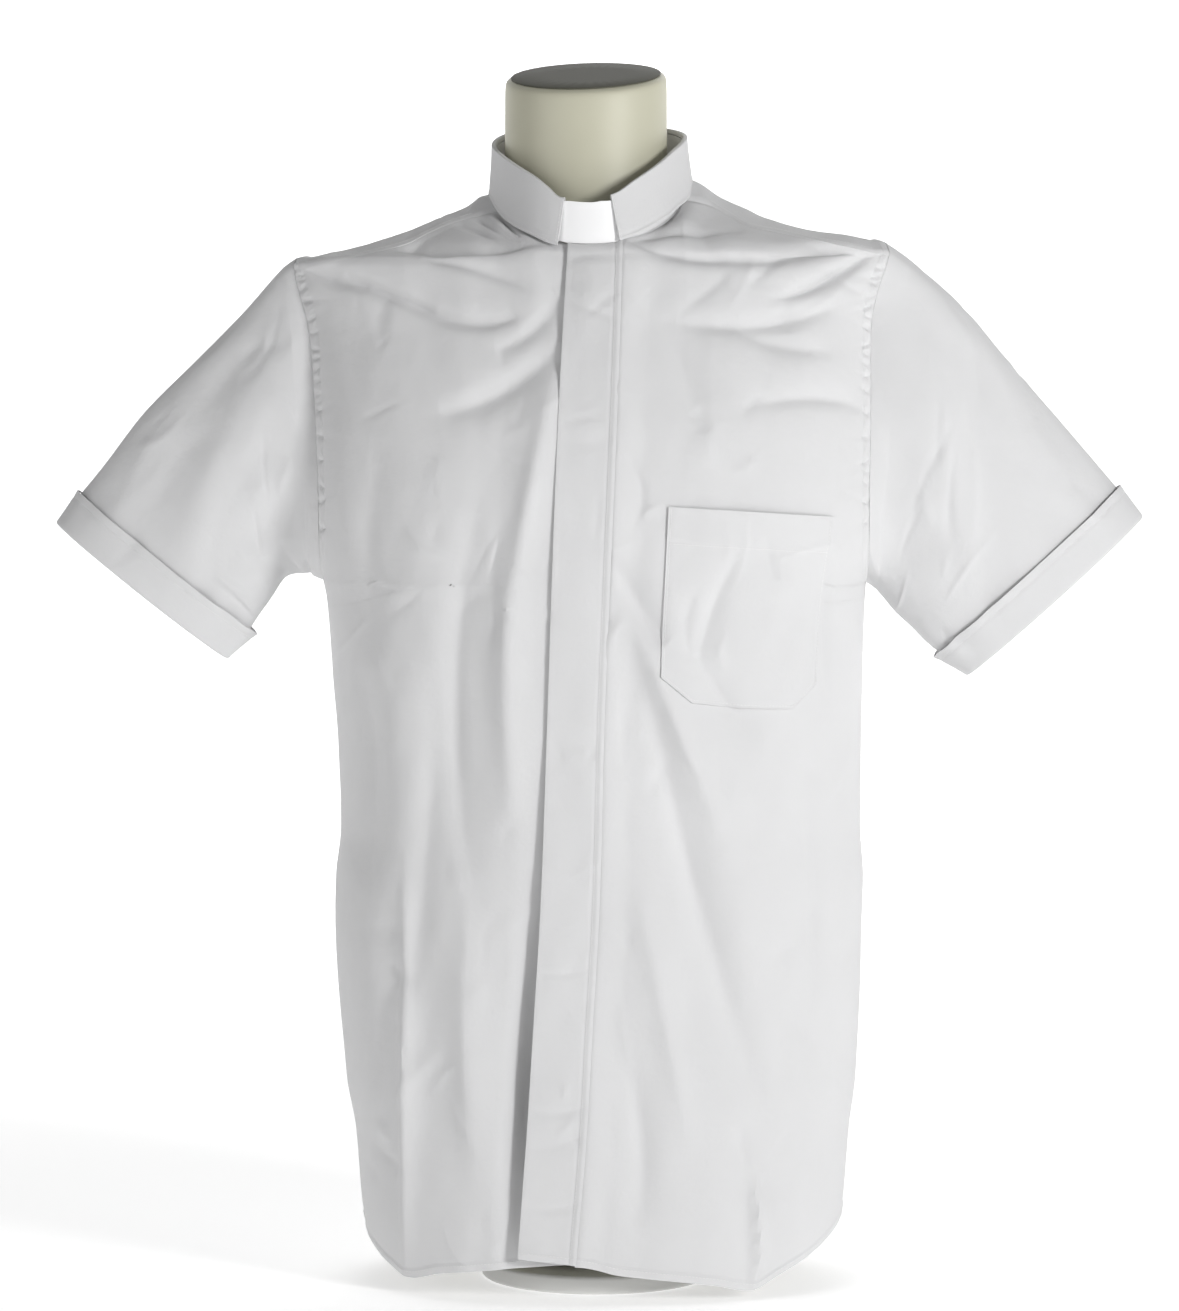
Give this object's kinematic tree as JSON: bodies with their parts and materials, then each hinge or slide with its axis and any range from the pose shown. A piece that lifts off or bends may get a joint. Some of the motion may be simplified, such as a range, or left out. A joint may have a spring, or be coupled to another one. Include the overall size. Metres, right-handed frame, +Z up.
{
  "type": "clergy shirt on dress form",
  "caption": "Short-sleeved shirt with a tab collar, concealed front placket, chest pocket, turned-up cuffs and shirt-tail hem, worn by a limbless dress form.",
  "frame": {"origin": "centre of the underside of the form's round foot", "axes": "+Z up along the form, -Y towards the shirt's front, +X towards the wearer's left"},
  "size_m": [0.8254, 0.2655, 0.9253],
  "materials": {
    "cotton": "smooth white cotton poplin, matt",
    "tab": "smooth white plastic",
    "form": "satin cream shell",
    "form_cap": "matt dark olive"
  },
  "bodies": {
    "root": {"right_front": "cotton", "left_front": "cotton", "fly_placket": "cotton", "back": "cotton", "yoke": "cotton", "right_sleeve": "cotton", "left_sleeve": "cotton", "right_cuff": "cotton", "left_cuff": "cotton", "collar_stand": "cotton", "collar_fall": "cotton", "chest_pocket": "cotton", "collar_tab": "tab", "form_torso": "form", "form_neck_cap": "form_cap", "form_foot": "form"}
  },
  "joints": []
}
